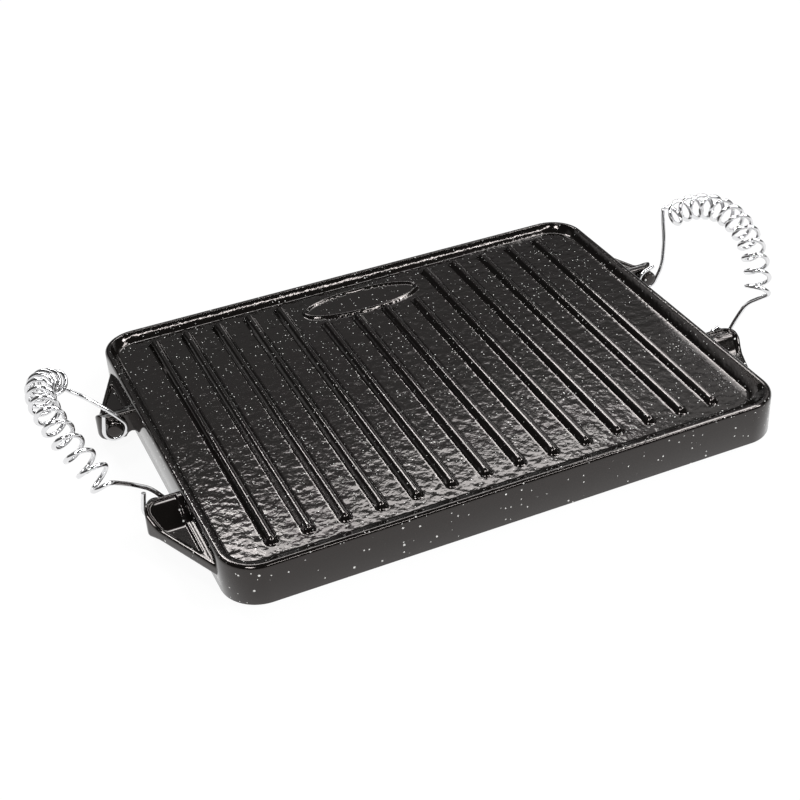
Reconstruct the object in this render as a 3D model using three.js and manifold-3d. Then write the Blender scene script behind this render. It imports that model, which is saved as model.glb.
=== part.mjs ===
// Cast iron grill plate: a ridged enamelled tray with four lugs, and a coiled wire handle at each end.
// Millimetres, +Z up, X along the plate. The plate stands on the edge of its skirt at Z = 0.

import * as THREE from 'three';
import { mergeVertices } from 'three/addons/utils/BufferGeometryUtils.js';
import Module from 'manifold-3d';

// Plate
const plateLength = 380;
const plateWidth = 289;
const plateHeight = 28.5;
const cornerRadius = 24.5;
const cornerSteps = 7;
const rimRounding = 2.6;
const rimWidth = 3.4;
const rimInnerEdge = 0.9;

// Tray inside the rim: the floor falls toward the front, where the cove is wider
const trayDepthBack = 5.5;
const trayDepthFront = 11;
const floorInset = 10;
const floorInsetFront = 19.5;
const floorCornerRadius = 15;
const coveWallShare = 0.7;
const coveWallLean = 0.8;
const coveSteps = 4;

// Skirt and hollow underside
const skirtWall = 5.5;
const skirtWallTop = 8.5;
const floorThickness = 5;

// Ridges
const ridgeCount = 14;
const ridgePitch = 23.68;
const ridgeWidth = 8.8;
const ridgeHeight = 4.3;
const ridgeFrontEnd = -117.5;
const ridgeBackEnd = 128.5;
const ridgeEndSteps = 5;
const ridgeCrestAngles = [0, 38, 68];
const badgeRidges = [5, 6, 7, 8];

// Oval badge: a raised border round a bare field
const badgeLength = 91;
const badgeWidth = 31.5;
const badgeCentreY = 111;
const badgeHeight = 2.2;
const badgeBorder = 3.4;
const badgeFieldHeight = 0.6;
const badgeSlope = 1;
const badgeSteps = 40;
const badgeRidgeGap = 1;

// Lugs: a triangular web that thickens to a knuckle at its inner end, and a cast pin
const lugRootDepth = 2;
const lugInnerY = 48.5;
const lugFarY = 117;
const leftLugReach = 25;
const rightLugReach = 23;
const lugNoseY = 60;
const lugNoseRadius = 10;
const webTop = 15.5;
const webBottom = 8;
const webStartY = 71;
const knuckleTop = 24.8;
const knuckleBottom = 6;
const knuckleTopY = 53;
const knuckleBottomY = 57;
const knuckleRounding = 1.5;
const notchRadius = 4;
const notchReach = 4.2;
const notchHeight = 5.5;
const pocketDepth = 1.5;
const pocketBorder = 3;
const pinReach = 15.5;
const pinHeight = 16.5;
const pinRadius = 5.6;
const pinTipY = 43.2;
const pinDome = 1.4;
const pinSegments = 24;

// Wire handles
const wireRadius = 1.5;
const wireSides = 8;
const eyeClearance = 0.3;
const eyeY = 46;
const eyeTurn = THREE.MathUtils.degToRad(225);
const eyeSteps = 18;
const leftEyeTail = 11;
const rightFrontEyeTail = 1.5;
const rightBackEyeTail = 7;
const legStraight = 12;
const kinkReach = 29.5;
const kinkY = 52;
const kinkLift = 3.8;
const kinkCut = 6;
const kneeLead = 5;
const kneeCut = 4.5;
const bendSteps = 6;
const leftArchRadius = 74.5;
const rightArchRadius = 70.4;
const archCentre = 3.2;
const archHalfAngle = THREE.MathUtils.degToRad(54);
const coilRadius = 7.9;
const coilTurns = 12;
const coilSteps = 12;
const leftCoilLift = -2;
const rightCoilLift = 1;
const leftRestAngle = THREE.MathUtils.degToRad(54);
const rightRestAngle = THREE.MathUtils.degToRad(63);
const rightCoilSlip = THREE.MathUtils.degToRad(3);
const leftForm = {
  archRadius: leftArchRadius,
  slip: 0,
  lift: leftCoilLift,
  frontTail: leftEyeTail,
  backTail: leftEyeTail,
};
const rightForm = {
  archRadius: rightArchRadius,
  slip: rightCoilSlip,
  lift: rightCoilLift,
  frontTail: rightFrontEyeTail,
  backTail: rightBackEyeTail,
};

const overlap = 1;

const wasm = await Module();
wasm.setup();

// A closed three.js geometry as a solid that can be joined and cut.
function solid(geometry) {
  const bare = geometry.index ? geometry.toNonIndexed() : geometry.clone();
  bare.deleteAttribute('normal');
  bare.deleteAttribute('uv');
  const merged = mergeVertices(bare, 1e-4);
  return new wasm.Manifold(new wasm.Mesh({
    numProp: 3,
    vertProperties: new Float32Array(merged.attributes.position.array),
    triVerts: new Uint32Array(merged.index.array),
  }));
}

// A solid's triangles as a flat-shaded three.js geometry.
function geometryOf(body) {
  const { vertProperties, triVerts } = body.getMesh();
  const indexed = new THREE.BufferGeometry();
  indexed.setAttribute('position', new THREE.BufferAttribute(vertProperties, 3));
  indexed.setIndex(new THREE.BufferAttribute(triVerts, 1));
  const geometry = indexed.toNonIndexed();
  geometry.computeVertexNormals();
  return geometry;
}

// Joins rings of equal count into a closed body. The rings run counter-clockwise seen from the last one.
function loft(rings) {
  const count = rings[0].length;
  const points = [...rings.flat(), middle(rings[0]), middle(rings.at(-1))];
  const firstCentre = points.length - 2;
  const lastCentre = points.length - 1;
  const lastRing = (rings.length - 1) * count;
  const index = [];
  for (let i = 0; i < count; i++) {
    const next = (i + 1) % count;
    for (let r = 0; r < lastRing; r += count) {
      index.push(r + i, r + next, r + count + next);
      index.push(r + i, r + count + next, r + count + i);
    }
    index.push(firstCentre, next, i);
    index.push(lastCentre, lastRing + i, lastRing + next);
  }
  const geometry = new THREE.BufferGeometry().setFromPoints(points);
  geometry.setIndex(index);
  return geometry;
}

function middle(ring) {
  const sum = ring.reduce((total, point) => total.add(point), new THREE.Vector3());
  return sum.divideScalar(ring.length);
}

// A rounded rectangle as a ring of points, at the height that heightAt gives for each of them.
function roundedRing(halfLength, frontY, backY, radius, heightAt) {
  const corners = [
    [halfLength - radius, backY - radius, 0],
    [radius - halfLength, backY - radius, 1],
    [radius - halfLength, frontY + radius, 2],
    [halfLength - radius, frontY + radius, 3],
  ];
  const ring = [];
  for (const [x, y, quarter] of corners) {
    for (let i = 0; i <= cornerSteps; i++) {
      const angle = (quarter + i / cornerSteps) * Math.PI / 2;
      const pointY = y + radius * Math.sin(angle);
      ring.push(new THREE.Vector3(x + radius * Math.cos(angle), pointY, heightAt(pointY)));
    }
  }
  return ring;
}

// The plate's outline, drawn in by the same amount all round.
function plateRing(inset, height) {
  const halfWidth = plateWidth / 2 - inset;
  return roundedRing(plateLength / 2 - inset, -halfWidth, halfWidth, cornerRadius - inset, () => height);
}

function trayDepthAt(y) {
  return THREE.MathUtils.mapLinear(y, -plateWidth / 2, plateWidth / 2, trayDepthFront, trayDepthBack);
}

function floorHeightAt(y) {
  return plateHeight - trayDepthAt(y);
}

function outerBody() {
  const rings = [plateRing(0, 0)];
  const roundingSteps = 3;
  for (let i = 0; i <= roundingSteps; i++) {
    const angle = i / roundingSteps * Math.PI / 2;
    const height = plateHeight - rimRounding * (1 - Math.sin(angle));
    rings.push(plateRing(rimRounding * (1 - Math.cos(angle)), height));
  }
  return solid(loft(rings));
}

// The space above the floor: the rim's inner edge, then a leaning wall that curves onto the sloping floor.
// The wall's profile is drawn in shares of its width and depth.
function trayCavity() {
  const rings = [plateRing(rimWidth, plateHeight + overlap), plateRing(rimWidth, plateHeight)];
  const coveTop = rimWidth + rimInnerEdge;
  const profile = new THREE.Path();
  profile.moveTo(0, 0);
  profile.lineTo(coveWallLean * coveWallShare, coveWallShare);
  profile.quadraticCurveTo(coveWallLean, 1, 1, 1);
  for (const { x: across, y: down } of profile.getPoints(coveSteps)) {
    const inset = THREE.MathUtils.lerp(coveTop, floorInset, across);
    const insetFront = THREE.MathUtils.lerp(coveTop, floorInsetFront, across);
    const radius = THREE.MathUtils.lerp(cornerRadius - coveTop, floorCornerRadius, across);
    const heightAt = (y) => plateHeight - THREE.MathUtils.lerp(rimInnerEdge, trayDepthAt(y), down);
    const halfLength = plateLength / 2 - inset;
    const frontY = insetFront - plateWidth / 2;
    rings.push(roundedRing(halfLength, frontY, plateWidth / 2 - inset, radius, heightAt));
  }
  return solid(loft(rings.reverse()));
}

// The space under the floor, inside the skirt that the plate stands on.
function undersideHollow() {
  const halfLength = plateLength / 2 - skirtWallTop;
  const halfWidth = plateWidth / 2 - skirtWallTop;
  const ceiling = (y) => floorHeightAt(y) - floorThickness;
  const rings = [
    plateRing(skirtWall, -overlap),
    plateRing(skirtWall, 0),
    roundedRing(halfLength, -halfWidth, halfWidth, cornerRadius - skirtWallTop, ceiling),
  ];
  return solid(loft(rings));
}

// A ridge with round ends, in plan and in height, that follows the slope of the floor.
function ridge(x, backEnd) {
  const stadium = (radius, lift) => {
    const ring = [];
    for (const [endY, startAngle] of [[backEnd, 0], [ridgeFrontEnd, Math.PI]]) {
      const centreY = endY - Math.sign(endY) * ridgeWidth / 2;
      for (let i = 0; i <= ridgeEndSteps; i++) {
        const angle = startAngle + i / ridgeEndSteps * Math.PI;
        const y = centreY + radius * Math.sin(angle);
        ring.push(new THREE.Vector3(x + radius * Math.cos(angle), y, floorHeightAt(y) + lift));
      }
    }
    return ring;
  };
  const rings = [stadium(ridgeWidth / 2, -overlap)];
  for (const degrees of ridgeCrestAngles) {
    const angle = THREE.MathUtils.degToRad(degrees);
    rings.push(stadium(ridgeWidth / 2 * Math.cos(angle), ridgeHeight * Math.sin(angle)));
  }
  return solid(loft(rings));
}

function ridges() {
  const badgeFrontY = badgeCentreY - badgeWidth / 2;
  return Array.from({ length: ridgeCount }, (_, i) => {
    const x = (i - (ridgeCount - 1) / 2) * ridgePitch;
    return ridge(x, badgeRidges.includes(i) ? badgeFrontY - badgeRidgeGap : ridgeBackEnd);
  });
}

function oval(inset, lift) {
  return Array.from({ length: badgeSteps }, (_, i) => {
    const angle = i / badgeSteps * 2 * Math.PI;
    const y = badgeCentreY + (badgeWidth / 2 - inset) * Math.sin(angle);
    return new THREE.Vector3((badgeLength / 2 - inset) * Math.cos(angle), y, floorHeightAt(y) + lift);
  });
}

function badge() {
  const field = badgeBorder + badgeSlope;
  const raised = solid(loft([oval(0, -overlap), oval(0, 0), oval(badgeSlope, badgeHeight)]));
  const cut = [
    oval(field, badgeFieldHeight),
    oval(badgeBorder, badgeHeight),
    oval(badgeBorder, badgeHeight + overlap),
  ];
  return raised.subtract(solid(loft(cut)));
}

// A geometry drawn at the right back corner, mirrored to the corner with the given signs.
function atCorner(geometry, signX, signY) {
  const copy = geometry.index ? geometry.toNonIndexed() : geometry.clone();
  copy.scale(signX, signY, 1);
  if (signX * signY < 0) {
    const position = copy.attributes.position;
    for (let i = 0; i < position.count; i += 3) {
      const first = new THREE.Vector3().fromBufferAttribute(position, i);
      const last = new THREE.Vector3().fromBufferAttribute(position, i + 2);
      position.setXYZ(i, last.x, last.y, last.z);
      position.setXYZ(i + 2, first.x, first.y, first.z);
    }
  }
  return copy;
}

const wallX = plateLength / 2;
const pinX = wallX + pinReach;

// The lug seen from above, drawn in from its edges by an inset: a triangle on the wall with a round nose.
function lugOutline(lugReach, inset, rootX) {
  const noseX = wallX + lugReach - lugNoseRadius;
  const edgeX = wallX + lugReach - inset;
  const slope = (lugFarY - lugNoseY) / lugReach;
  const slantedY = (x) => lugNoseY + slope * (wallX + lugReach - x) - inset * Math.hypot(1, slope);
  const outline = new THREE.Shape();
  outline.moveTo(rootX, lugInnerY + inset);
  outline.lineTo(noseX, lugInnerY + inset);
  outline.absarc(noseX, lugInnerY + lugNoseRadius, lugNoseRadius - inset, -Math.PI / 2, 0, false);
  outline.lineTo(edgeX, slantedY(edgeX));
  outline.lineTo(rootX, slantedY(rootX));
  return new THREE.ExtrudeGeometry(outline, { depth: plateHeight, curveSegments: 6, bevelEnabled: false });
}

// The lug seen from the end of the plate: the web's thickness swells to that of the knuckle.
function lugProfile(lugReach) {
  const swell = (webStartY - knuckleBottomY) / 2;
  const outline = new THREE.Shape();
  outline.moveTo(lugInnerY, knuckleBottom + knuckleRounding);
  outline.quadraticCurveTo(lugInnerY, knuckleBottom, lugInnerY + knuckleRounding, knuckleBottom);
  outline.lineTo(knuckleBottomY, knuckleBottom);
  outline.bezierCurveTo(
    knuckleBottomY + swell, knuckleBottom, webStartY - swell, webBottom, webStartY, webBottom);
  outline.lineTo(lugFarY, webBottom);
  outline.lineTo(lugFarY, webTop);
  outline.lineTo(webStartY, webTop);
  outline.bezierCurveTo(webStartY - swell, webTop, knuckleTopY + swell, knuckleTop, knuckleTopY, knuckleTop);
  outline.quadraticCurveTo(lugInnerY, knuckleTop, lugInnerY, knuckleTop - knuckleRounding);
  const depth = lugReach + lugRootDepth;
  const geometry = new THREE.ExtrudeGeometry(outline, { depth, curveSegments: 5, bevelEnabled: false });
  geometry.rotateX(Math.PI / 2);
  geometry.rotateZ(Math.PI / 2);
  return geometry.translate(wallX - lugRootDepth, 0, 0);
}

// The hollow under the knuckle, beside the wall.
function lugNotch() {
  const length = webStartY - lugInnerY;
  const geometry = new THREE.CylinderGeometry(notchRadius, notchRadius, length, 16);
  return geometry.translate(wallX + notchReach, lugInnerY + length / 2 - overlap, notchHeight);
}

function lugPin() {
  const profile = [new THREE.Vector2(0, pinTipY)];
  const domeSteps = 3;
  for (let i = 1; i <= domeSteps; i++) {
    const angle = i / domeSteps * Math.PI / 2;
    profile.push(new THREE.Vector2(pinRadius * Math.sin(angle), pinTipY + pinDome * (1 - Math.cos(angle))));
  }
  const rootY = lugInnerY + knuckleRounding;
  profile.push(new THREE.Vector2(pinRadius, rootY), new THREE.Vector2(0, rootY));
  const geometry = new THREE.LatheGeometry(profile, pinSegments);
  return geometry.translate(pinX, 0, pinHeight);
}

function plateSolid() {
  let body = outerBody();
  for (const signX of [1, -1]) {
    for (const signY of [1, -1]) {
      const corner = (shape) => solid(atCorner(shape, signX, signY));
      const reach = signX > 0 ? rightLugReach : leftLugReach;
      const outline = corner(lugOutline(reach, 0, wallX - lugRootDepth));
      const swollen = outline.intersect(corner(lugProfile(reach)));
      // The shallow pocket in the lug's top follows its slope inside an even border.
      const pocketFloor = corner(lugProfile(reach).translate(0, 0, -pocketDepth));
      const pocket = corner(lugOutline(reach, pocketBorder, wallX + pocketBorder)).subtract(pocketFloor);
      const lug = swollen.subtract(corner(lugNotch())).subtract(pocket);
      body = body.add(lug).add(corner(lugPin()));
    }
  }
  body = body.subtract(trayCavity()).subtract(undersideHollow());
  return [...ridges(), badge()].reduce((whole, piece) => whole.add(piece), body);
}

// Handle frame: origin on the pins' axis midway between them, X outward along the handle, Y along the
// axis, Z to the side of the handle that faces the plate.
const eyeRadius = pinRadius + eyeClearance + wireRadius;

// The wire's end at one pin: a straight tail, then the eye round the pin, up to where the leg leaves it.
function eyePoints(form, side) {
  const onEye = (angle) => new THREE.Vector3(
    -eyeRadius * Math.sin(angle), side * eyeY, eyeRadius * Math.cos(angle));
  const leaving = onEye(eyeTurn);
  // Both handles are turned on the plate so that the positive side is at its front.
  const tail = side > 0 ? form.frontTail : form.backTail;
  const along = new THREE.Vector3(-Math.cos(eyeTurn), 0, -Math.sin(eyeTurn));
  const points = [];
  for (const share of [1, 0.7, 0.35]) {
    points.push(leaving.clone().addScaledVector(along, share * tail));
  }
  for (let i = eyeSteps; i >= 0; i--) {
    points.push(onEye(eyeTurn * i / eyeSteps));
  }
  return points;
}

// A point on the coil: the turn is counted from 0 at the front end to coilTurns at the back end.
function coilPoint(form, turn) {
  const span = THREE.MathUtils.mapLinear(turn, 0, coilTurns, -archHalfAngle, archHalfAngle);
  const archAngle = form.slip + span;
  const twist = turn * 2 * Math.PI;
  const reach = form.archRadius + coilRadius * Math.cos(twist);
  const x = archCentre + reach * Math.cos(archAngle);
  return new THREE.Vector3(x, reach * Math.sin(archAngle), form.lift + coilRadius * Math.sin(twist));
}

function coilDirection(form, turn) {
  const step = 1e-3;
  return coilPoint(form, turn + step).sub(coilPoint(form, turn - step)).normalize();
}

// A corner of a leg, rounded between two points at the length cut before and after it.
function roundCorner(before, corner, after, cut) {
  const towards = (target) => target.clone().sub(corner).setLength(cut).add(corner);
  const bend = new THREE.QuadraticBezierCurve3(towards(before), corner, towards(after));
  return bend.getPoints(bendSteps);
}

// The leg from an eye to the end of the coil: straight past the knuckle, a kink, then a knee into the coil.
function legPoints(form, side) {
  const turn = side < 0 ? 0 : coilTurns;
  const start = new THREE.Vector3(0, side * eyeY, eyeRadius);
  const bend = new THREE.Vector3(legStraight, side * eyeY, eyeRadius);
  const kink = new THREE.Vector3(kinkReach, side * kinkY, kinkLift);
  const end = coilPoint(form, turn);
  const knee = end.clone().addScaledVector(coilDirection(form, turn), side * kneeLead);
  return [
    ...roundCorner(start, bend, kink, kinkCut),
    ...roundCorner(bend, kink, knee, kinkCut),
    ...roundCorner(kink, knee, end, kneeCut),
  ];
}

// The whole wire from the front tail to the back tail.
function wirePoints(form) {
  const wound = Array.from({ length: coilTurns * coilSteps + 1 }, (_, i) => coilPoint(form, i / coilSteps));
  const front = [...eyePoints(form, -1), ...legPoints(form, -1)];
  const back = [...eyePoints(form, 1), ...legPoints(form, 1)].reverse();
  return [...front, ...wound, ...back];
}

// Sweeps a round section along the points, carrying it from one to the next without twist.
function sweep(points) {
  const rings = [];
  const across = new THREE.Vector3(0, 1, 0);
  points.forEach((point, i) => {
    const before = points[Math.max(i - 1, 0)];
    const after = points[Math.min(i + 1, points.length - 1)];
    const along = after.clone().sub(before).normalize();
    across.addScaledVector(along, -across.dot(along)).normalize();
    const up = along.clone().cross(across);
    rings.push(Array.from({ length: wireSides }, (_, k) => {
      const angle = k / wireSides * 2 * Math.PI;
      const offset = across.clone().multiplyScalar(Math.cos(angle)).addScaledVector(up, Math.sin(angle));
      return point.clone().addScaledVector(offset, wireRadius);
    }));
  });
  return loft(rings);
}

// The least gap between stretches of the wire that are more than apart millimetres from each other along it.
function leastGap(points, apart) {
  const runs = [0];
  for (let i = 1; i < points.length; i++) {
    runs.push(runs[i - 1] + points[i].distanceTo(points[i - 1]));
  }
  let least = Infinity;
  for (let i = 0; i < points.length; i++) {
    for (let j = i + 1; j < points.length; j++) {
      if (runs[j] - runs[i] > apart) {
        least = Math.min(least, points[i].distanceTo(points[j]));
      }
    }
  }
  return least - 2 * wireRadius;
}

const enamel = new THREE.MeshStandardMaterial({ color: 0x1d1c1c, roughness: 0.25, metalness: 0 });
const steelLeft = new THREE.MeshStandardMaterial({ color: 0xc9cacb, roughness: 0.18, metalness: 1 });
const steelRight = steelLeft.clone();

function namedMesh(name, body, material) {
  const mesh = new THREE.Mesh(geometryOf(body), material);
  mesh.name = name;
  return mesh;
}

// A handle stands on the pins of the right end, leaning out by its rest angle. It may be turned over on the
// pins, and the end of the plate turned half round is the left one. Each coil is loose: the right one
// has slipped a little along its arch, and the left one is sprung further out.
function handleAt(name, restAngle, turnedOver, endTurn, form, material) {
  const wire = wirePoints(form);
  const wireGap = leastGap(wire, 2 * eyeRadius);
  console.log(`least gap of the wire of ${name} to itself: ${wireGap.toFixed(2)} mm`);
  const handle = namedMesh(name, solid(sweep(wire)), material);
  handle.rotation.x = turnedOver;
  const lean = new THREE.Group();
  lean.rotation.y = -restAngle;
  lean.position.set(pinX, 0, pinHeight);
  lean.add(handle);
  const end = new THREE.Group();
  end.rotation.z = endTurn;
  end.add(lean);
  return end;
}

const object = new THREE.Group();
object.add(namedMesh('grill_plate', plateSolid(), enamel));
object.add(handleAt('left_handle', leftRestAngle, 0, Math.PI, leftForm, steelLeft));
object.add(handleAt('right_handle', rightRestAngle, Math.PI, 0, rightForm, steelRight));

// The handles lean by different amounts, so the plate sits a little off the middle of the whole object.
const extent = new THREE.Box3().setFromObject(object, true);
object.position.x = -(extent.min.x + extent.max.x) / 2;
console.log(`plate centre at X = ${object.position.x.toFixed(3)} mm`);

export default object;
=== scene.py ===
import math

import bmesh
import bpy
from mathutils import Matrix, Vector, noise


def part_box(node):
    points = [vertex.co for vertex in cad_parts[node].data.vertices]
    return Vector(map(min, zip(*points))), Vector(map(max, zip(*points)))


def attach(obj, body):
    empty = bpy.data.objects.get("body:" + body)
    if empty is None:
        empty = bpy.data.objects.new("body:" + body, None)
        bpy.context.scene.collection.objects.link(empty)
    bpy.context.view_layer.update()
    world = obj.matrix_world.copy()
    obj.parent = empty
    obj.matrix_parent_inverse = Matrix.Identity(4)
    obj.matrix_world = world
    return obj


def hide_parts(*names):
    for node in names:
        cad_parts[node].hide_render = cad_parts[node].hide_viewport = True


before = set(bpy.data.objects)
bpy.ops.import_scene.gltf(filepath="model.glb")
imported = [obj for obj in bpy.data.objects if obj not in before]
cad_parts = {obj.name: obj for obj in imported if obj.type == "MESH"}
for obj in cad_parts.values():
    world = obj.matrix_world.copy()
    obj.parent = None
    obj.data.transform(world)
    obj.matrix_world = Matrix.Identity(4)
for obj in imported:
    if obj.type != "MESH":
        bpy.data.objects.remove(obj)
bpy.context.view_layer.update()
scene = bpy.context.scene
MM = 0.001

# Camera: a long lens at the front left of the plate, looking down on it.
# Its place is measured from the middle of the plate, which lies beside the middle of the whole part,
# and beside the middle of the casting, because the left lugs are longer than the right ones.
plate_low, plate_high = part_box("grill_plate")
left_lug_excess = 2
plate_x = (plate_low[0] + plate_high[0]) / 2 / MM + left_lug_excess / 2
camera_place = (plate_x - 341.19, -775.07, 581.16)
camera_turns = (55.581, 2.679, -24.362)
camera_data = bpy.data.cameras.new("camera")
camera_data.sensor_width = 36
camera_data.lens = 67.16
camera_data.clip_end = 50
camera = bpy.data.objects.new("camera", camera_data)
camera.location = Vector(camera_place) * MM
camera.rotation_euler = [math.radians(turn) for turn in camera_turns]
scene.collection.objects.link(camera)
scene.camera = camera


# Studio: a white table in a surround that shows white to the eye and fills the shadows softly.
# In reflections the surround is white at the horizon and dark overhead, with a dim card behind the plate.
# A wide soft box and six smaller lamps draw the lights on the floor, the edges and the wire.
class Shade:
    """A shader value. Operators on it add Math nodes, and node() adds any other node."""

    def __init__(self, tree, socket=None):
        self.tree = tree
        self.socket = socket

    def node(self, kind, settings=None, inputs=None, output=0):
        made = self.tree.nodes.new(kind)
        for name, value in (settings or {}).items():
            if name == "stops":
                for element, (position, colour) in zip(made.color_ramp.elements, value):
                    element.position = position
                    element.color = colour
            else:
                setattr(made, name, value)
        for name, value in (inputs or {}).items():
            if isinstance(value, Shade):
                self.tree.links.new(value.socket, made.inputs[name])
            else:
                made.inputs[name].default_value = value
        return Shade(self.tree, made.outputs[output] if made.outputs else None)

    def math(self, operation, first, second, clamp=False):
        settings = {"operation": operation, "use_clamp": clamp}
        return self.node("ShaderNodeMath", settings, {0: first, 1: second})

    def __add__(self, other):
        return self.math("ADD", self, other)

    def __sub__(self, other):
        return self.math("SUBTRACT", self, other)

    def __mul__(self, other):
        return self.math("MULTIPLY", self, other)

    def __truediv__(self, other):
        return self.math("DIVIDE", self, other)

    def __rsub__(self, other):
        return self.math("SUBTRACT", other, self)

    def clamped(self):
        return self.math("ADD", self, 0.0, clamp=True)

    def ramp(self, start, full):
        """0 at start, 1 at full, straight between the two and level beyond them."""
        return ((self - start) / (full - start)).clamped()

    __radd__ = __add__
    __rmul__ = __mul__


# An edge holds the part of a ray, across, back or up, where it starts and where it is complete.
surround_fill = 0.1
ceiling_edge = (0.03, 0.20)
ceiling_shade = 0.05
card_shade = 0.20
card_front_edge = (0.2, 0.4)
card_lower_edge = (0.40, 0.52)
card_upper_edge = (0.86, 0.80)
bright_shade = 0.6
bright_slant = 0.3
bright_edge = (0.69, 0.75)
table_glow = 0.93
world = bpy.data.worlds.new("surround")
world.use_nodes = True
world.node_tree.nodes.clear()
sky = Shade(world.node_tree)
seen = sky.node("ShaderNodeLightPath", output="Is Camera Ray")
mirrored = sky.node("ShaderNodeLightPath", output="Is Glossy Ray")
through = sky.node("ShaderNodeLightPath", output="Is Transmission Ray")
direction = sky.node("ShaderNodeTexCoord", output="Generated")
across, back, upward = [
    sky.node("ShaderNodeSeparateXYZ", inputs={0: direction}, output=axis) for axis in ("X", "Y", "Z")
]
ceiling = upward.ramp(*ceiling_edge)
card = upward.ramp(*card_lower_edge) * upward.ramp(*card_upper_edge) * back.ramp(*card_front_edge)
bright = (upward + across * bright_slant).ramp(*bright_edge)
reflected = 1 - ceiling * (1 - ceiling_shade) + card * (card_shade + bright * bright_shade)
bounced = (mirrored + through).clamped()
level = bounced * reflected + (1 - bounced) * surround_fill
strength = seen + (1 - seen) * level
light = sky.node("ShaderNodeBackground", inputs={"Color": (1, 1, 1, 1), "Strength": strength})
sky.node("ShaderNodeOutputWorld", inputs={"Surface": light})
scene.world = world
scene.view_settings.view_transform = "Standard"

table_bm = bmesh.new()
bmesh.ops.create_grid(table_bm, x_segments=1, y_segments=1, size=6)
table_mesh = bpy.data.meshes.new("table")
table_bm.to_mesh(table_mesh)
table_bm.free()
table = bpy.data.objects.new("table", table_mesh)
scene.collection.objects.link(table)
table_paint = bpy.data.materials.new("white_table")
table_paint.use_nodes = True
table_paint.node_tree.nodes.clear()
paint = Shade(table_paint.node_tree)
seen = paint.node("ShaderNodeLightPath", output="Is Camera Ray")
mirrored = paint.node("ShaderNodeLightPath", output="Is Glossy Ray")
through = paint.node("ShaderNodeLightPath", output="Is Transmission Ray")
shown = (seen + mirrored + through).clamped()
matt = paint.node("ShaderNodeBsdfDiffuse", inputs={"Color": (0.9, 0.9, 0.9, 1)})
glow = paint.node("ShaderNodeEmission", inputs={"Color": (1, 1, 1, 1), "Strength": 1.0})
surface = paint.node("ShaderNodeMixShader", inputs={0: shown * table_glow, 1: matt, 2: glow})
paint.node("ShaderNodeOutputMaterial", inputs={"Surface": surface})
table_mesh.materials.append(table_paint)


def soft_box(name, aim_from, aim_at, width, height, power):
    """A rectangular lamp in metres and watts, turned from its own place to another."""
    lamp = bpy.data.lights.new(name, "AREA")
    lamp.shape = "RECTANGLE"
    lamp.size = width
    lamp.size_y = height
    lamp.energy = power
    holder = bpy.data.objects.new(name, lamp)
    holder.location = aim_from
    holder.rotation_euler = (Vector(aim_at) - Vector(aim_from)).to_track_quat("-Z", "Y").to_euler()
    scene.collection.objects.link(holder)


soft_box("back_soft_box", (0.28, 1.22, 1.49), (0.28, 0, 0), 1.52, 0.35, 11)
soft_box("back_left_lamp", (0.10, 1.27, 1.37), (-0.12, -0.08, 0), 0.26, 0.20, 0.9)
soft_box("left_strip", (-0.38, 1.04, 1.23), (0, 0, 0), 0.12, 0.58, 7.5)
soft_box("right_top_box", (1.00, 0.05, 1.45), (0.15, -0.10, 0), 0.90, 0.36, 14)
soft_box("front_right_lamp", (1.25, -0.75, 1.20), (0, 0, 0), 0.35, 0.35, 12)
soft_box("front_strip", (0.45, -0.95, 1.10), (0, 0.1, 0), 1.00, 0.07, 6)
soft_box("front_left_lamp", (-0.75, -0.75, 1.25), (0, 0, 0), 0.35, 0.35, 10)


# Plate shell: the casting's wall, rim, coved tray and hollow underside, gloss black enamel all over.
# It is cast in one with the floor and the lugs, and stands on the lower edge of its skirt.
plate_length = 380
plate_width = 289
plate_height = 28.5
corner_radius = 24.5
rim_rounding = 2.6
rim_width = 3.4
rim_inner_edge = 0.9
tray_depth_back = 5.5
tray_depth_front = 11
floor_inset = 10
floor_inset_front = 19.5
skirt_wall = 5.5
skirt_taper = 3
foot_rounding = 0.6
floor_thickness = 5
tuck_width = 0.3
tuck_depth = 1
rim_facing = 0.3
edge_steps = 3
cove_wall_share = 0.7
cove_wall_lean = 0.8
cove_steps = 8


def tray_depth_at(y):
    front_share = 0.5 - y / plate_width
    return tray_depth_back + front_share * (tray_depth_front - tray_depth_back)


def floor_height_at(y):
    return plate_height - tray_depth_at(y)


enamel_black = (0.0032, 0.0027, 0.0024, 1)
speck_white = (0.72, 0.72, 0.70, 1)
speck_share = 0.6
speck_edge = 0.25
broad_weight = 1.6


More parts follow.
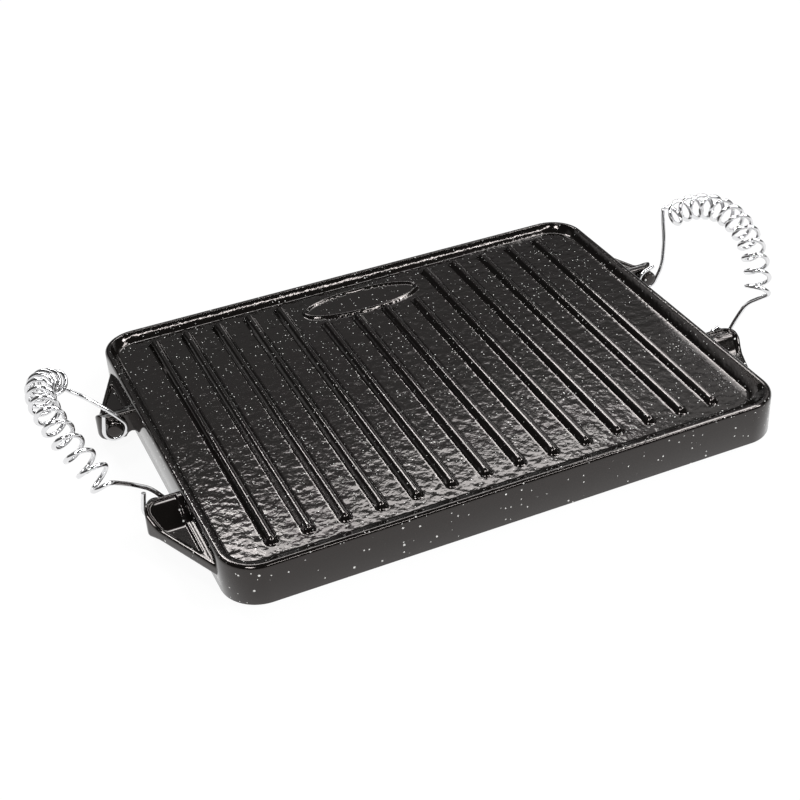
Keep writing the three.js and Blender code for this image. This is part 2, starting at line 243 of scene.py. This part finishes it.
def enamel(name, ripple, speck_spacing, speck_radius):
    """Gloss black enamel on cast iron, with white specks and the ripple of the metal under it, in mm."""
    material = bpy.data.materials.new(name)
    material.use_nodes = True
    material.node_tree.nodes.clear()
    coat = Shade(material.node_tree)
    place = coat.node("ShaderNodeTexCoord", output="Object")
    cells = {"Vector": place, "Scale": 1 / (speck_spacing * MM)}
    distance = coat.node("ShaderNodeTexVoronoi", inputs=cells, output="Distance")
    chance = coat.node("ShaderNodeTexVoronoi", inputs=cells, output="Color")
    chance = coat.node("ShaderNodeSeparateColor", inputs={0: chance}, output="Red")
    reach = (chance - (1 - speck_share)) * (speck_radius / speck_spacing / speck_share)
    specks = ((reach - distance) * (speck_spacing / speck_edge)).clamped()
    colour = coat.node(
        "ShaderNodeMix",
        {"data_type": "RGBA"},
        {0: specks, 6: enamel_black, 7: speck_white},
        output=2,
    )
    cloud = coat.node("ShaderNodeTexNoise", inputs={"Vector": place, "Scale": 9.0, "Detail": 3.0})
    fine = coat.node("ShaderNodeTexNoise", inputs={"Vector": place, "Scale": 400.0, "Detail": 1.5})
    broad = coat.node("ShaderNodeTexNoise", inputs={"Vector": place, "Scale": 130.0, "Detail": 1.0})
    relief = (fine + broad * broad_weight) * ripple
    normal = coat.node("ShaderNodeBump", inputs={"Strength": 1.0, "Distance": 1 * MM, "Height": relief})
    finish = coat.node(
        "ShaderNodeBsdfPrincipled",
        inputs={
            "Base Color": colour, "Roughness": 0.06 + cloud * 0.06, "IOR": 1.55,
            "Specular Tint": (1.0, 0.92, 0.89, 1), "Normal": normal,
        },
    )
    coat.node("ShaderNodeOutputMaterial", inputs={"Surface": finish})
    return material


def piece(name, bm, material, body, crease=40):
    """A finished mesh piece, in metres in the part's frame, that rides on one body of the part."""
    bmesh.ops.scale(bm, vec=(MM, MM, MM), verts=bm.verts)
    bmesh.ops.recalc_face_normals(bm, faces=bm.faces)
    mesh = bpy.data.meshes.new(name)
    bm.to_mesh(mesh)
    bm.free()
    mesh.polygons.foreach_set("use_smooth", [True] * len(mesh.polygons))
    mesh.set_sharp_from_angle(angle=math.radians(crease))
    mesh.materials.append(material)
    obj = bpy.data.objects.new(name, mesh)
    scene.collection.objects.link(obj)
    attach(obj, body)
    return obj


wall_enamel = enamel("gloss_enamel", 0.02, 3.6, 0.9)
rim_enamel = enamel("rim_enamel", 0.10, 2.3, 0.6)
shell_bm = bmesh.new()
bmesh.ops.create_grid(shell_bm, x_segments=1, y_segments=1, size=1)
bmesh.ops.scale(shell_bm, vec=(plate_length / 2, plate_width / 2, 1), verts=shell_bm.verts)
bmesh.ops.bevel(
    shell_bm, geom=shell_bm.verts[:], offset=corner_radius, affect="VERTICES",
    segments=20, profile=0.5, material=-1,
)
raised = bmesh.ops.extrude_face_region(shell_bm, geom=shell_bm.faces[:])
raised_verts = [item for item in raised["geom"] if isinstance(item, bmesh.types.BMVert)]
bmesh.ops.translate(shell_bm, vec=(0, 0, plate_height), verts=raised_verts)
bmesh.ops.recalc_face_normals(shell_bm, faces=shell_bm.faces)
rim_edges = [edge for edge in shell_bm.edges if all(v.co.z > plate_height / 2 for v in edge.verts)]
bmesh.ops.bevel(
    shell_bm, geom=rim_edges, offset=rim_rounding, affect="EDGES", segments=6, profile=0.5, material=-1,
)
foot_edges = [edge for edge in shell_bm.edges if all(v.co.z < 0.1 for v in edge.verts)]
bmesh.ops.bevel(
    shell_bm, geom=foot_edges, offset=foot_rounding, affect="EDGES", segments=2, profile=0.5, material=-1,
)
tray_face = max(shell_bm.faces, key=lambda face: face.calc_area() * face.normal.z)
under_face = min(shell_bm.faces, key=lambda face: face.calc_area() * face.normal.z)


def sink(face, across, down):
    """Draws a flat face of the shell in by across and lowers it by down, keeping the walls between."""
    bmesh.ops.inset_region(shell_bm, faces=[face], thickness=across, use_boundary=True, use_even_offset=True)
    bmesh.ops.translate(shell_bm, vec=(0, 0, -down), verts=face.verts[:])


sink(tray_face, rim_width - rim_rounding, 0)
for step in range(edge_steps):
    turn = [math.pi / 2 * (step + k) / edge_steps for k in (0, 1)]
    across = rim_inner_edge * (math.sin(turn[1]) - math.sin(turn[0]))
    sink(tray_face, across, rim_inner_edge * (math.cos(turn[0]) - math.cos(turn[1])))
cove_width = floor_inset - rim_width - rim_inner_edge
front_extra = floor_inset_front - floor_inset
profile = [(0, 0), (cove_wall_lean * cove_wall_share, cove_wall_share)]
for step in range(1, cove_steps + 1):
    t = step / cove_steps
    start_x, start_y = profile[1]
    turn_x = start_x * (1 - t) ** 2 + 2 * cove_wall_lean * t * (1 - t) + t * t
    profile.append((turn_x, 1 - (1 - start_y) * (1 - t) ** 2))
for (last_across, _), (across, down) in zip(profile, profile[1:]):
    sink(tray_face, (across - last_across) * cove_width, 0)
    for vert in tray_face.verts:
        if vert.co.y < corner_radius - plate_width / 2 + front_extra:
            vert.co.y += (across - last_across) * front_extra
        depth = rim_inner_edge + down * (tray_depth_at(vert.co.y) - rim_inner_edge)
        vert.co.z = plate_height - depth
sink(tray_face, tuck_width, tuck_depth)
sink(under_face, skirt_wall - foot_rounding, 0)
sink(under_face, skirt_taper, 0)
for vert in under_face.verts:
    vert.co.z = floor_height_at(vert.co.y) - floor_thickness
bmesh.ops.translate(shell_bm, vec=(plate_x, 0, 0), verts=shell_bm.verts)
shell = piece("plate_shell", shell_bm, wall_enamel, "plate")
shell.data.materials.append(rim_enamel)
for face in shell.data.polygons:
    if face.normal.z > rim_facing:
        face.material_index = 1
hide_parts("grill_plate")


# Ridged floor: the sloping floor of the tray with its row of ridges and the border of the oval badge.
# It is the top of the same casting, and its metal is hammered between the ridges under the enamel.
hammer_depth = 0.11
hammer_pitch = 4.5
ridge_count = 14
ridge_pitch = 23.68
ridge_half_width = 4.3
ridge_height = 4.3
ridge_fillet = 0.9
ridge_bluntness = 0.6
ridge_end_bluntness = 1.8
ridge_end_length = 5
ridge_front_end = -117.5
ridge_back_end = 128.5
ridge_badge_end = 94.3
badge_ridges = (5, 6, 7, 8)
badge_centre_y = 111
badge_half_length = 43.8
badge_half_width = 14.1
badge_border = 1.9
badge_height = 2.2
badge_field_height = 0.6
badge_roundness = 0.8
badge_middle = 0.1
floor_margin = 1.5
floor_margin_front = 4
fine_step = 0.65
broad_step = 1.8
fine_by_ridge = 8
fine_by_badge = 4
fine_by_end = 10
fine_lead = 2
slab = 1.5

ridge_places = [(i - (ridge_count - 1) / 2) * ridge_pitch for i in range(ridge_count)]


def swell(start, end, share):
    """A smooth change from start to end as share goes from 0 to 1."""
    share = min(max(share, 0), 1)
    return start + (end - start) * share * share * (3 - 2 * share)


def ridge_lift(x, y):
    """Height of the ridges over the floor: blunt crests, round ends, steep flanks and a small fillet."""
    index = min(range(ridge_count), key=lambda i: abs(x - ridge_places[i]))
    back_end = ridge_badge_end if index in badge_ridges else ridge_back_end
    nearest_y = min(max(y, ridge_front_end + ridge_half_width), back_end - ridge_half_width)
    away = math.hypot(x - ridge_places[index], y - nearest_y) / ridge_half_width
    from_end = min(y - ridge_front_end, back_end - y) - ridge_half_width
    blunt = swell(ridge_end_bluntness, ridge_bluntness, from_end / ridge_end_length)
    foot = math.hypot(1, blunt)
    rise = ridge_height * (foot - math.hypot(away, blunt)) / (foot - blunt)
    fillet = max(0.0, ridge_fillet - abs(rise)) ** 2 / (4 * ridge_fillet)
    return max(rise, 0.0) + fillet


def badge_lift(x, y):
    """Height over the floor of the oval border and of the bare field inside it."""
    along = x / badge_half_length
    across = (y - badge_centre_y) / badge_half_width
    radius = math.hypot(along, across)
    if radius < badge_middle:
        return badge_field_height
    slope = math.hypot(along / badge_half_length, across / badge_half_width) / radius
    away = abs(radius - 1) / slope / badge_border
    field = badge_field_height if radius < 1 else 0.0
    return max(field, badge_height * max(0.0, 1 - away * away) ** badge_roundness)


def stations(low, high, fine_at):
    """Places from low to high, close together where fine_at says so."""
    places = [low]
    while places[-1] < high:
        places.append(places[-1] + (fine_step if fine_at(places[-1]) else broad_step))
    places[-1] = high
    return places


def near_ridge(x):
    by_badge = abs(x) < badge_half_length + fine_by_badge
    return by_badge or min(abs(x - place + fine_lead) for place in ridge_places) < fine_by_ridge


def near_end(y):
    ends = (ridge_front_end, ridge_back_end)
    by_badge = ridge_badge_end - fine_by_end < y < ridge_back_end
    return by_badge or min(abs(y - end) for end in ends) < fine_by_end


half_floor = plate_length / 2 - floor_inset + floor_margin
floor_front = floor_inset_front - plate_width / 2 - floor_margin_front
floor_back = plate_width / 2 - floor_inset + floor_margin
columns = stations(-half_floor, half_floor, near_ridge)
rows = stations(floor_front, floor_back, near_end)
floor_bm = bmesh.new()
bmesh.ops.create_grid(floor_bm, x_segments=len(columns) - 1, y_segments=len(rows) - 1, size=1)
for vert in floor_bm.verts:
    x = columns[round((vert.co.x + 1) / 2 * (len(columns) - 1))]
    y = rows[round((vert.co.y + 1) / 2 * (len(rows) - 1))]
    lift = max(ridge_lift(x, y), badge_lift(x, y))
    hammered = hammer_depth * noise.noise(Vector((x, y, 0)) / hammer_pitch) * swell(1, 0, lift)
    vert.co = (x, y, floor_height_at(y) + lift + hammered)
border = [edge for edge in floor_bm.edges if edge.is_boundary]
lowered = bmesh.ops.extrude_edge_only(floor_bm, edges=border)["geom"]
lowered_verts = [item for item in lowered if isinstance(item, bmesh.types.BMVert)]
bmesh.ops.translate(floor_bm, vec=(0, 0, -slab), verts=lowered_verts)
lowered_edges = [item for item in lowered if isinstance(item, bmesh.types.BMEdge)]
bmesh.ops.contextual_create(floor_bm, geom=[edge for edge in lowered_edges if edge.is_boundary])
bmesh.ops.translate(floor_bm, vec=(plate_x, 0, 0), verts=floor_bm.verts)
hammered_enamel = enamel("hammered_enamel", 0.12, 2.0, 0.55)
ridge_enamel = enamel("ridge_enamel", 0.05, 2.1, 0.55)
floor = piece("ridged_floor", floor_bm, hammered_enamel, "plate")
floor.data.materials.append(ridge_enamel)
for face in floor.data.polygons:
    x = face.center.x / MM - plate_x
    y = face.center.y / MM
    if max(ridge_lift(x, y), badge_lift(x, y)) > ridge_fillet / 2:
        face.material_index = 1
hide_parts("grill_plate")


# Lugs: at each end two triangular webs that swell to a knuckle, from which a cast pin points inward.
# They are iron under the same enamel, cast with the plate, so their corners flow into each other.
wall_x = plate_length / 2
lug_root = 3
lug_inner_y = 48.5
lug_far_y = 117
left_lug_reach = 25
right_lug_reach = 23
lug_nose_y = 60
lug_nose_radius = 10
web_top = 15.5
web_bottom = 8
web_start_y = 71
knuckle_top = 24.8
knuckle_bottom = 6
knuckle_top_y = 53
knuckle_bottom_y = 57
notch_radius = 4
notch_reach = 4.2
notch_height = 5.5
pocket_depth = 1.5
pocket_border = 3
pin_reach = 15.5
pin_height = 16.5
pin_radius = 5.6
pin_tip_y = 43.2
pin_root = 3
pin_dome = 1.4
overlap = 1
nose_steps = 12
knuckle_steps = 20
rough_grain = 0.6
fine_grain = 0.45
relax_rounds = 12


def solid_object(name, bm, sign_x, sign_y):
    """A closed mesh drawn at the right back corner, in mm, as an object at the corner with these signs."""
    bmesh.ops.scale(bm, vec=(sign_x, sign_y, 1), verts=bm.verts)
    bmesh.ops.translate(bm, vec=(plate_x, 0, 0), verts=bm.verts)
    bmesh.ops.scale(bm, vec=(MM, MM, MM), verts=bm.verts)
    bmesh.ops.recalc_face_normals(bm, faces=bm.faces)
    mesh = bpy.data.meshes.new(name)
    bm.to_mesh(mesh)
    bm.free()
    obj = bpy.data.objects.new(name, mesh)
    scene.collection.objects.link(obj)
    return obj


def prism(corners, along):
    """A closed prism from a flat outline, drawn along a vector."""
    bm = bmesh.new()
    outline = bm.faces.new([bm.verts.new(corner) for corner in corners])
    made = bmesh.ops.extrude_face_region(bm, geom=[outline])["geom"]
    moved = [item for item in made if isinstance(item, bmesh.types.BMVert)]
    bmesh.ops.translate(bm, vec=along, verts=moved)
    return bm


def lug_plan(lug_reach, inset, root_x):
    """The lug seen from above, its nose round and its far side slanting back to the wall, drawn up."""
    nose_x = wall_x + lug_reach - lug_nose_radius
    edge_x = wall_x + lug_reach - inset
    slope = (lug_far_y - lug_nose_y) / lug_reach
    radius = lug_nose_radius - inset
    corners = [(root_x, lug_inner_y + inset, 0)]
    for step in range(nose_steps + 1):
        turn = math.pi / 2 * step / nose_steps
        y = lug_inner_y + lug_nose_radius - radius * math.cos(turn)
        corners.append((nose_x + radius * math.sin(turn), y, 0))
    for x in (edge_x, root_x):
        y = lug_nose_y + slope * (wall_x + lug_reach - x) - inset * math.hypot(1, slope)
        corners.append((x, y, 0))
    return prism(corners, (0, 0, plate_height))


def lug_side(lug_reach, drop):
    """The lug seen from the plate's end, a low web that swells to the knuckle, drawn outward."""
    swell_length = web_start_y - lug_inner_y
    places = [lug_inner_y + swell_length * step / knuckle_steps for step in range(knuckle_steps + 1)]
    x = wall_x - lug_root - overlap
    lower = []
    upper = []
    for y in places:
        bottom_share = (y - knuckle_bottom_y) / (web_start_y - knuckle_bottom_y)
        top_share = (y - knuckle_top_y) / (web_start_y - knuckle_top_y)
        lower.append((x, y, swell(knuckle_bottom, web_bottom, bottom_share) - drop))
        upper.append((x, y, swell(knuckle_top, web_top, top_share) - drop))
    lower.append((x, lug_far_y + overlap, web_bottom - drop))
    upper.append((x, lug_far_y + overlap, web_top - drop))
    return prism(lower + upper[::-1], (lug_reach + lug_root + 2 * overlap, 0, 0))


def lug_notch():
    """The round hollow under the knuckle, beside the wall."""
    bm = bmesh.new()
    length = web_start_y - lug_inner_y
    bmesh.ops.create_cone(
        bm, cap_ends=True, segments=32, radius1=notch_radius, radius2=notch_radius, depth=length,
    )
    bmesh.ops.rotate(bm, matrix=Matrix.Rotation(math.pi / 2, 3, "X"), verts=bm.verts)
    place = (wall_x + notch_reach, lug_inner_y + length / 2 - overlap, notch_height)
    bmesh.ops.translate(bm, vec=place, verts=bm.verts)
    return bm


def lug_pin():
    """The pin, a rod with slightly domed ends, rooted in the knuckle."""
    bm = bmesh.new()
    half = (lug_inner_y + pin_root - pin_tip_y) / 2
    bmesh.ops.create_uvsphere(bm, u_segments=48, v_segments=24, radius=pin_radius)
    bmesh.ops.rotate(bm, matrix=Matrix.Rotation(math.pi / 2, 3, "X"), verts=bm.verts)
    bmesh.ops.scale(bm, vec=(1, pin_dome / pin_radius, 1), verts=bm.verts)
    for tip in (-1, 1):
        end = [vert for vert in bm.verts if vert.co.y * tip > 0.001]
        bmesh.ops.translate(bm, vec=(0, tip * (half - pin_dome), 0), verts=end)
    bmesh.ops.translate(bm, vec=(wall_x + pin_reach, pin_tip_y + half, pin_height), verts=bm.verts)
    return bm


def cast_smooth(obj, grain):
    """Melts the corners of an object as a casting has them, by an even skin that is then relaxed."""
    skin = obj.modifiers.new("skin", "REMESH")
    skin.mode = "VOXEL"
    skin.voxel_size = grain * MM
    skin.use_smooth_shade = True
    relax = obj.modifiers.new("relax", "SMOOTH")
    relax.factor = 0.5
    relax.iterations = relax_rounds


def lug(name, lug_reach, sign_x, sign_y):
    """One lug: the plan cut to the side view, with its hollow, its shallow pocket and its pin."""
    obj = solid_object(name, lug_plan(lug_reach, 0, wall_x - lug_root), sign_x, sign_y)
    tools = []

    def work(target, operation, shape):
        tool = solid_object("tool", shape, sign_x, sign_y)
        cut = target.modifiers.new("cut", "BOOLEAN")
        cut.operation = operation
        cut.object = tool
        tools.append(tool)
        return tool

    work(obj, "INTERSECT", lug_side(lug_reach, 0))
    cast_smooth(obj, rough_grain)
    work(obj, "DIFFERENCE", lug_notch())
    pocket = work(obj, "DIFFERENCE", lug_plan(lug_reach, pocket_border, wall_x + pocket_border))
    work(pocket, "DIFFERENCE", lug_side(lug_reach, pocket_depth))
    work(obj, "UNION", lug_pin())
    cast_smooth(obj, fine_grain)
    baked = bpy.data.meshes.new_from_object(obj.evaluated_get(bpy.context.evaluated_depsgraph_get()))
    obj.modifiers.clear()
    obj.data = baked
    for tool in tools:
        bpy.data.objects.remove(tool)
    baked.materials.clear()
    baked.materials.append(wall_enamel)
    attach(obj, "plate")
    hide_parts("grill_plate")


for end, reach, sign_x in (("left", left_lug_reach, -1), ("right", right_lug_reach, 1)):
    for side, sign_y in (("front", -1), ("back", 1)):
        lug(f"{end}_{side}_lug", reach, sign_x, sign_y)


# Handles: each is one bright steel wire with an eye round a pin at either end.
# Between its legs the wire is wound into an arched coil, which stays cool to the hand.
wire_radius = 1.5
eye_radius = 7.4
eye_y = 46
eye_turn = math.radians(225)
leg_straight = 12
kink_reach = 29.5
kink_y = 52
kink_lift = 3.8
arch_centre = 3.2
arch_half_angle = math.radians(54)
coil_radius = 7.9
coil_turns = 12
coil_steps = 40
kink_cut = 6
knee_lead = 5
knee_cut = 4.5
bend_steps = 16
eye_steps = 48
small_turn = 0.001
left_lean = math.radians(54)
right_lean = math.radians(63)
left_form = {
    "arch_radius": 74.5, "slip": 0, "lift": -2, "front_tail": 11, "back_tail": 11,
}
right_form = {
    "arch_radius": 70.4, "slip": math.radians(3), "lift": 1, "front_tail": 1.5, "back_tail": 7,
}


def eye_points(form, side):
    """The eye from its free tail to the leg. Side 1 comes to lie at the plate's front, -1 at its back."""
    points = []
    tail = form["front_tail"] if side > 0 else form["back_tail"]
    tail_x = -eye_radius * math.sin(eye_turn) - math.cos(eye_turn) * tail
    tail_z = eye_radius * math.cos(eye_turn) - math.sin(eye_turn) * tail
    points.append(Vector((tail_x, side * eye_y, tail_z)))
    for step in range(eye_steps, -1, -1):
        turn = eye_turn * step / eye_steps
        points.append(Vector((-eye_radius * math.sin(turn), side * eye_y, eye_radius * math.cos(turn))))
    return points


def coil_point(form, turn):
    """A point of the coil after this many turns, wound round an arc of the arch."""
    arch = form["slip"] + arch_half_angle * (2 * turn / coil_turns - 1)
    twist = turn * 2 * math.pi
    reach = form["arch_radius"] + coil_radius * math.cos(twist)
    return Vector((
        arch_centre + reach * math.cos(arch),
        reach * math.sin(arch),
        form["lift"] + coil_radius * math.sin(twist),
    ))


def round_corner(before, corner, after, cut):
    """Points of a corner of the leg, rounded from the length cut before it to the same length after it."""
    first = corner + (before - corner).normalized() * cut
    last = corner + (after - corner).normalized() * cut
    points = []
    for step in range(bend_steps + 1):
        t = step / bend_steps
        points.append(first * (1 - t) ** 2 + corner * 2 * t * (1 - t) + last * t * t)
    return points


def leg_points(form, side):
    """The leg from the eye to the coil, with a bend, a kink and a knee."""
    turn = 0 if side < 0 else coil_turns
    start = Vector((0, side * eye_y, eye_radius))
    bend = Vector((leg_straight, side * eye_y, eye_radius))
    kink = Vector((kink_reach, side * kink_y, kink_lift))
    end = coil_point(form, turn)
    onward = coil_point(form, turn + small_turn) - coil_point(form, turn - small_turn)
    knee = end + onward.normalized() * side * knee_lead
    return (
        round_corner(start, bend, kink, kink_cut)
        + round_corner(bend, kink, knee, kink_cut)
        + round_corner(kink, knee, end, knee_cut)
    )


def handle(name, body, end_turn, lean, turned_over, form):
    """One handle: the wire's whole route, leant up on its pins and swept as a round tube."""
    wound = [coil_point(form, step / coil_steps) for step in range(coil_turns * coil_steps + 1)]
    first = eye_points(form, -1) + leg_points(form, -1)
    last = eye_points(form, 1) + leg_points(form, 1)
    route = first + wound + last[::-1]
    stand = (
        Matrix.Translation((plate_x, 0, 0))
        @ Matrix.Rotation(end_turn, 4, "Z")
        @ Matrix.Translation((wall_x + pin_reach, 0, pin_height))
        @ Matrix.Rotation(-lean, 4, "Y")
        @ Matrix.Rotation(turned_over, 4, "X")
    )
    curve = bpy.data.curves.new(name, "CURVE")
    curve.dimensions = "3D"
    curve.bevel_depth = wire_radius * MM
    curve.bevel_resolution = 4
    curve.use_fill_caps = True
    spline = curve.splines.new("POLY")
    spline.points.add(len(route) - 1)
    for point, place in zip(spline.points, route):
        point.co = (*(stand @ place * MM), 1)
    former = bpy.data.objects.new(name + "_route", curve)
    scene.collection.objects.link(former)
    mesh = bpy.data.meshes.new_from_object(former.evaluated_get(bpy.context.evaluated_depsgraph_get()))
    bpy.data.objects.remove(former)
    mesh.name = name
    mesh.polygons.foreach_set("use_smooth", [True] * len(mesh.polygons))
    mesh.set_sharp_from_angle(angle=math.radians(50))
    mesh.materials.clear()
    mesh.materials.append(bright_wire)
    obj = bpy.data.objects.new(name, mesh)
    scene.collection.objects.link(obj)
    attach(obj, body)
    return obj


bright_wire = bpy.data.materials.new("bright_wire")
bright_wire.use_nodes = True
bright_wire.node_tree.nodes.clear()
plating = Shade(bright_wire.node_tree)
place = plating.node("ShaderNodeTexCoord", output="Object")
drawn = plating.node("ShaderNodeTexNoise", inputs={"Vector": place, "Scale": 700.0, "Detail": 2.0}, output=0)
finish = plating.node(
    "ShaderNodeBsdfPrincipled",
    inputs={"Base Color": (0.78, 0.78, 0.79, 1), "Metallic": 1.0, "Roughness": 0.10 + drawn * 0.08},
)
plating.node("ShaderNodeOutputMaterial", inputs={"Surface": finish})

left_wire = handle("left_coil_handle", "left_handle_body", math.pi, left_lean, 0, left_form)
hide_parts("left_handle")
right_wire = handle("right_coil_handle", "right_handle_body", 0, right_lean, math.pi, right_form)
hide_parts("right_handle")
